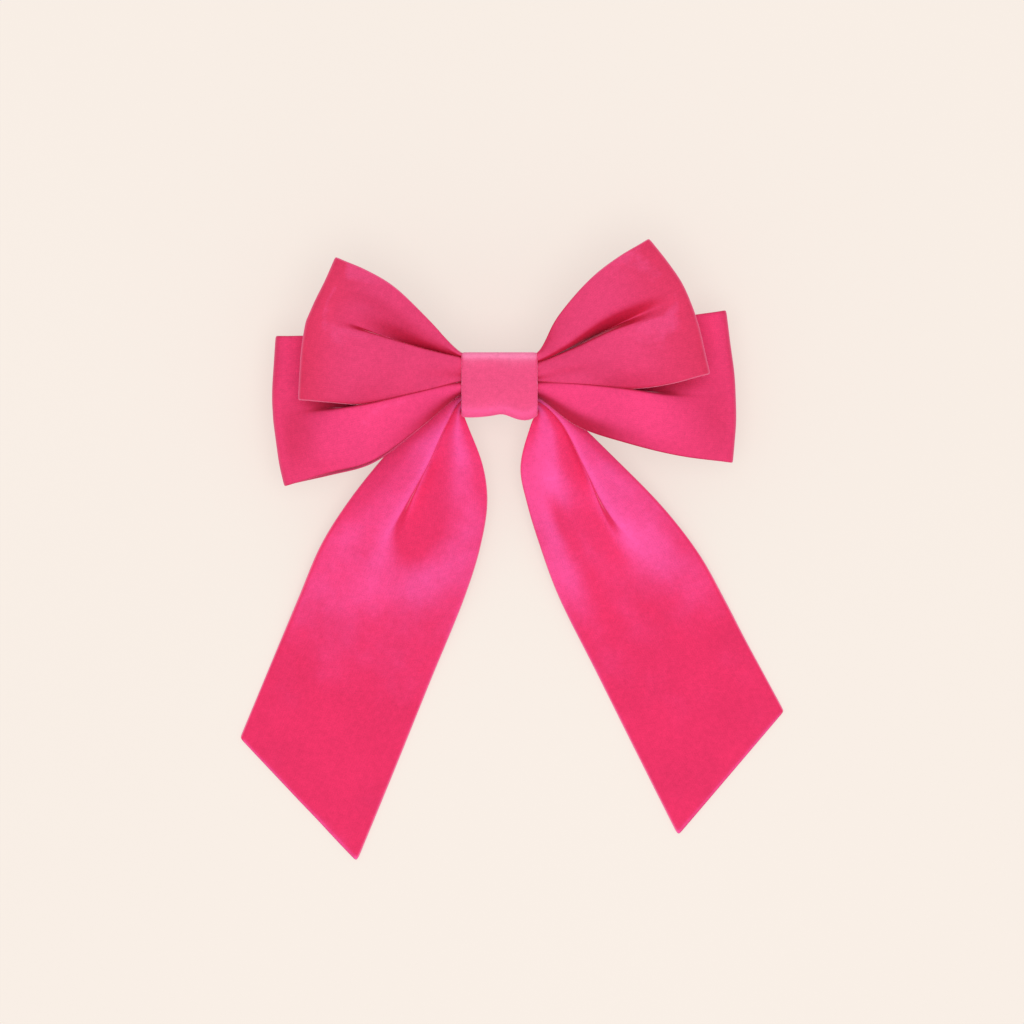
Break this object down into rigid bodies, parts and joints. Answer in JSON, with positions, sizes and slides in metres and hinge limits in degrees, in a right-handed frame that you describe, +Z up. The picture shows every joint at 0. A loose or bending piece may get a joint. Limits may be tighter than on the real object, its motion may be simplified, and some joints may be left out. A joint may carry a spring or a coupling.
{
  "type": "bow barrette",
  "caption": "Velvet ribbon bow with stacked loops, a wrapped knot and long slant-cut tails, sewn on a French spring hair barrette.",
  "frame": {"origin": "on the table, under the middle of the whole object's box", "axes": "+Z up out of the bow's face, +X along the barrette towards its catch, +Y from the tails towards the top of the loops"},
  "size_m": [0.1744, 0.2, 0.0362],
  "materials": {
    "velvet_front": "hot-pink velvet, short pile",
    "velvet_back": "hot-pink velvet, short pile, a little lighter",
    "velvet_tails": "hot-pink velvet, short pile",
    "velvet_knot": "hot-pink velvet with its weave showing where it is stretched",
    "pink_thread": "twisted sewing thread",
    "pink_felt": "matt felt",
    "plated_steel": "nickel-plated pressed steel, lightly brushed",
    "spring_steel": "spring steel, fine grain"
  },
  "bodies": {
    "bow": {"upper_bow_ribbon": "velvet_front", "lower_bow_ribbon": "velvet_back", "tail_ribbon": "velvet_tails", "knot_wrap": "velvet_knot", "gather_thread": "pink_thread", "backing_felt": "pink_felt", "left_stitch": "pink_thread", "right_stitch": "pink_thread", "base_plate": "plated_steel", "hinge_pin": "plated_steel", "catch_plate": "plated_steel", "inner_catch_rivet": "plated_steel", "outer_catch_rivet": "plated_steel"},
    "arm": {"clasp_arm": "plated_steel"},
    "bar": {"tension_bar": "spring_steel"},
    "front_catch": {"front_prong": "spring_steel"},
    "rear_catch": {"rear_prong": "spring_steel"}
  },
  "joints": [
    {"name": "arm_hinge", "type": "hinge", "parent": "bow", "child": "arm", "pos_m": [-0.042, 0.05375, 0.0022], "axis": [0, 1, 0], "range_deg": [0, 85]},
    {"name": "bar_flex", "type": "hinge", "parent": "bow", "child": "bar", "pos_m": [-0.0389, 0.05375, 0.0083], "axis": [0, 1, 0], "range_deg": [-1, 0], "stiffness_Nm_per_rad": 0.5},
    {"name": "front_squeeze", "type": "hinge", "parent": "bow", "child": "front_catch", "pos_m": [0.032, 0.05235, 0.0082], "axis": [1, 0, 0], "range_deg": [0, 5], "stiffness_Nm_per_rad": 0.001},
    {"name": "rear_squeeze", "type": "hinge", "parent": "bow", "child": "rear_catch", "pos_m": [0.032, 0.05515, 0.0082], "axis": [-1, 0, 0], "range_deg": [0, 5], "stiffness_Nm_per_rad": 0.001}
  ],
  "couplings": [
    {"joint": "rear_squeeze", "follows": "front_squeeze", "ratio": 1}
  ]
}
